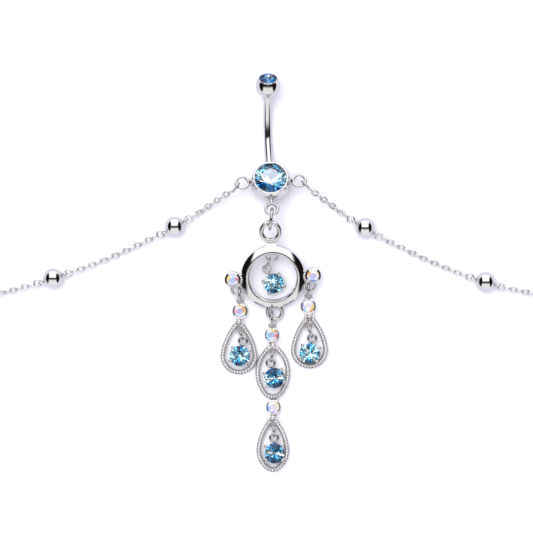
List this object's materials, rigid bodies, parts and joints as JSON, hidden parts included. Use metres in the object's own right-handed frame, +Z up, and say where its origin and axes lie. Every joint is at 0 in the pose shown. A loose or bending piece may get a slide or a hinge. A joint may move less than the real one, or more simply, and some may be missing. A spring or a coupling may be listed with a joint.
{
  "type": "belly chain",
  "caption": "Waist chain with round beads, joined to a curved navel barbell whose jewelled ball carries a chandelier pendant of beaded drops with blue stones; laid flat.",
  "frame": {"origin": "on the surface the chain lies on, under the middle of the whole chain's box", "axes": "+Z up from the surface, +Y from the pendant to the clasp behind the wearer, +X to the right seen from above with the barbell's screw ball pointing away"},
  "size_m": [0.2836, 0.1953, 0.0082],
  "materials": {
    "barbell_steel": "mirror polished surgical steel",
    "plated_metal": "bright rhodium-coloured plating",
    "chain_steel": "polished steel links",
    "bead_steel": "mirror polished",
    "sapphire_glass": "cut light sapphire glass with foiled back",
    "blue_zircon_glass": "cut blue zircon glass with foiled back",
    "rainbow_glass": "cut clear glass with a rainbow coating"
  },
  "bodies": {
    "chain": {"barbell": "barbell_steel", "navel_stone": "sapphire_glass", "pendant_jump_ring": "plated_metal", "ring_frame": "plated_metal", "ring_cup_stone_left": "rainbow_glass", "ring_cup_stone_right": "rainbow_glass", "ring_dangle_jump_ring": "plated_metal", "ring_dangle_setting": "plated_metal", "ring_dangle_stone": "blue_zircon_glass", "left_drop_jump_ring": "plated_metal", "left_drop_frame": "plated_metal", "left_drop_cup_stone": "rainbow_glass", "left_dangle_jump_ring": "plated_metal", "left_dangle_setting": "plated_metal", "left_dangle_stone": "blue_zircon_glass", "right_drop_jump_ring": "plated_metal", "right_drop_frame": "plated_metal", "right_drop_cup_stone": "rainbow_glass", "right_dangle_jump_ring": "plated_metal", "right_dangle_setting": "plated_metal", "right_dangle_stone": "blue_zircon_glass", "centre_drop_jump_ring": "plated_metal", "centre_drop_frame": "plated_metal", "centre_upper_cup_stone": "rainbow_glass", "centre_lower_cup_stone": "rainbow_glass", "centre_upper_dangle_jump_ring": "plated_metal", "centre_upper_dangle_setting": "plated_metal", "centre_upper_dangle_stone": "blue_zircon_glass", "centre_lower_dangle_jump_ring": "plated_metal", "centre_lower_dangle_setting": "plated_metal", "centre_lower_dangle_stone": "blue_zircon_glass", "chain_ring_left": "plated_metal", "chain_ring_right": "plated_metal", "chain_left": "chain_steel", "chain_right": "chain_steel", "station_beads_left": "bead_steel", "station_beads_right": "bead_steel", "clasp": "plated_metal", "clasp_ring": "plated_metal"},
    "screw_ball": {"top_ball": "barbell_steel", "top_ball_stone": "sapphire_glass"}
  },
  "joints": [
    {"name": "top_ball_unscrew", "type": "slide", "parent": "chain", "child": "screw_ball", "axis": [0.0245, 0.8, 0.5995], "range_m": [0, 0.004]}
  ]
}
